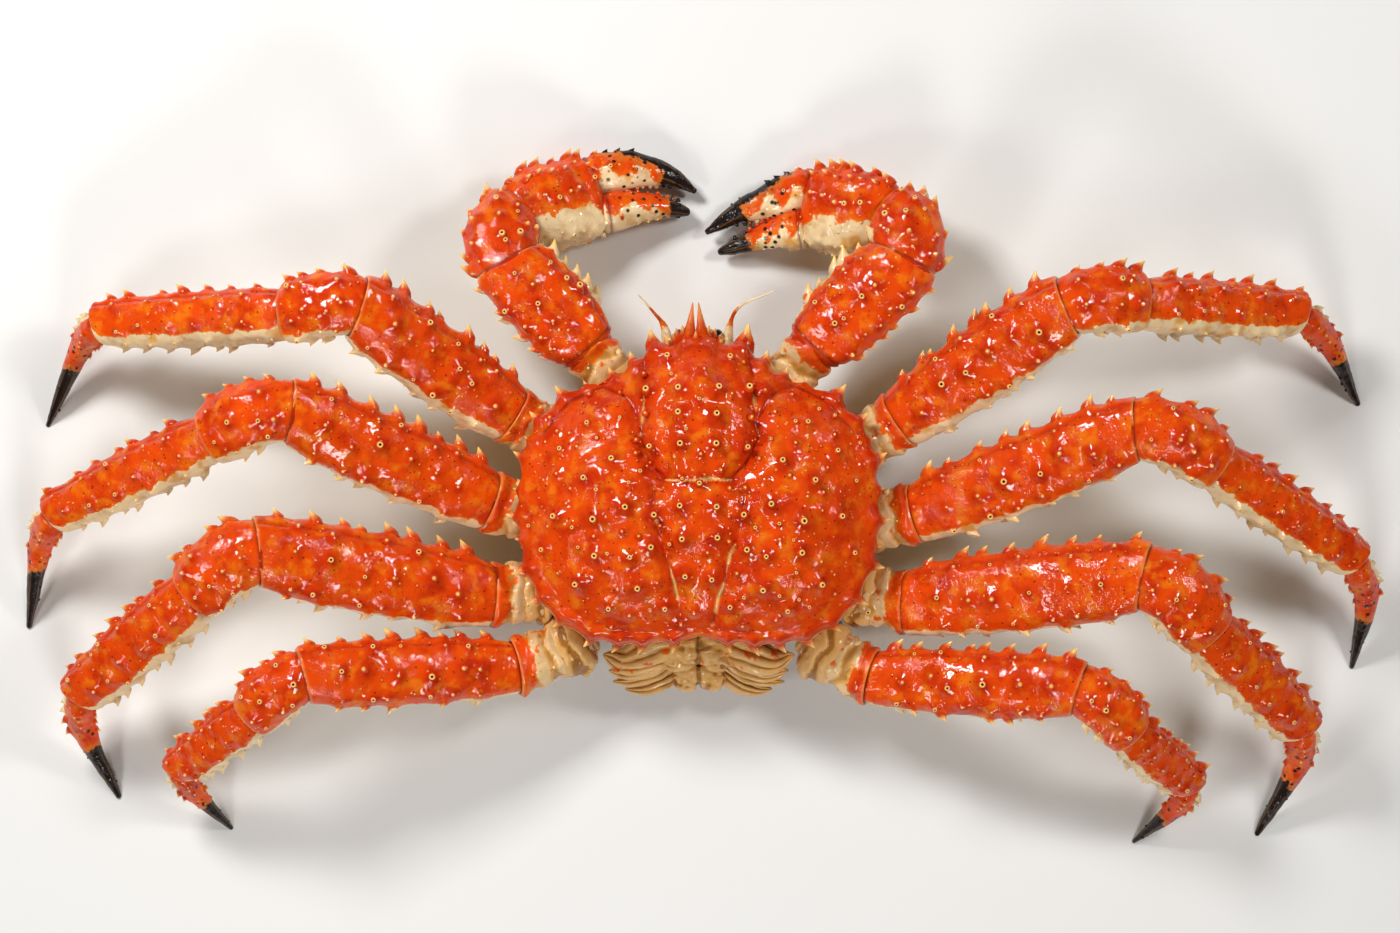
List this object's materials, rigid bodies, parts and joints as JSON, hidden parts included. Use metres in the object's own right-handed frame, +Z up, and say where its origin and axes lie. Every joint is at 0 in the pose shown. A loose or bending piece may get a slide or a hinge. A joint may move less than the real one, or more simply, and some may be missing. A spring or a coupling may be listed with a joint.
{
  "type": "red king crab",
  "caption": "Life-size red king crab, spiny orange-red shell, walking legs spread and bent, claws curled in before the head, standing still on its leg tips and claw heels.",
  "frame": {"origin": "on the floor, under the centre of the whole crab's bounding box", "axes": "+X to the right on a view from straight above with the head up, which is the crab's right side; +Y forward, from the tail to the rostrum; +Z up from the floor"},
  "size_m": [0.758, 0.3895, 0.1174],
  "materials": {
    "red_shell": "wet glossy orange-red shell with darker freckles and cream spines",
    "cream_shell": "cream to tan shell and skin, satin to glossy",
    "claw_horn": "orange-red shell that ends in glossy black-brown horn",
    "eye_black": "glossy black cornea on a short stalk"
  },
  "bodies": {
    "root": {"carapace": "red_shell", "underbody": "cream_shell", "abdomen_fold": "cream_shell", "abdomen_flap": "cream_shell", "mouthparts": "cream_shell", "eye_left": "eye_black", "feeler_left": "red_shell", "eye_right": "eye_black", "feeler_right": "red_shell", "leg_left_1_base": "cream_shell", "leg_left_1_merus": "red_shell", "leg_left_1_carpus": "red_shell", "leg_left_1_propodus": "red_shell", "leg_left_1_dactyl": "claw_horn", "leg_left_2_base": "cream_shell", "leg_left_2_merus": "red_shell", "leg_left_2_carpus": "red_shell", "leg_left_2_propodus": "red_shell", "leg_left_2_dactyl": "claw_horn", "leg_left_3_base": "cream_shell", "leg_left_3_merus": "red_shell", "leg_left_3_carpus": "red_shell", "leg_left_3_propodus": "red_shell", "leg_left_3_dactyl": "claw_horn", "leg_left_4_base": "cream_shell", "leg_left_4_merus": "red_shell", "leg_left_4_carpus": "red_shell", "leg_left_4_propodus": "red_shell", "leg_left_4_dactyl": "claw_horn", "leg_right_1_base": "cream_shell", "leg_right_1_merus": "red_shell", "leg_right_1_carpus": "red_shell", "leg_right_1_propodus": "red_shell", "leg_right_1_dactyl": "claw_horn", "leg_right_2_base": "cream_shell", "leg_right_2_merus": "red_shell", "leg_right_2_carpus": "red_shell", "leg_right_2_propodus": "red_shell", "leg_right_2_dactyl": "claw_horn", "leg_right_3_base": "cream_shell", "leg_right_3_merus": "red_shell", "leg_right_3_carpus": "red_shell", "leg_right_3_propodus": "red_shell", "leg_right_3_dactyl": "claw_horn", "leg_right_4_base": "cream_shell", "leg_right_4_merus": "red_shell", "leg_right_4_carpus": "red_shell", "leg_right_4_propodus": "red_shell", "leg_right_4_dactyl": "claw_horn", "claw_left_base": "cream_shell", "claw_left_merus": "red_shell", "claw_left_carpus": "red_shell", "claw_left_palm": "red_shell", "claw_left_finger": "claw_horn", "claw_right_base": "cream_shell", "claw_right_merus": "red_shell", "claw_right_carpus": "red_shell", "claw_right_palm": "red_shell", "claw_right_finger": "claw_horn"}
  },
  "joints": []
}
